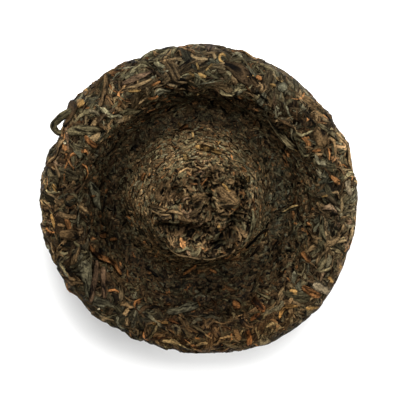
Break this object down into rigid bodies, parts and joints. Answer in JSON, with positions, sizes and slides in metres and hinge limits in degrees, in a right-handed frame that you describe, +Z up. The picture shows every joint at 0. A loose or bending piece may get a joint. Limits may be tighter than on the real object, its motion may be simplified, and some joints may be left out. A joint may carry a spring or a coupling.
{
  "type": "mushroom tuocha",
  "caption": "Compressed tea pressed into a mushroom shape: a thick round cap of whole leaves with a ring valley and a short torn stem.",
  "frame": {"origin": "centre of the small flat spot on the crown of the cap, which it rests on", "axes": "+Z up along the stem, from the crown of the cap to the torn end of the stem; +X is the right side of the picture and +Y its top"},
  "size_m": [0.1075, 0.1083, 0.0461],
  "materials": {
    "pressed_tea": null
  },
  "bodies": {
    "root": {"pressed_tea": "pressed_tea"}
  },
  "joints": []
}
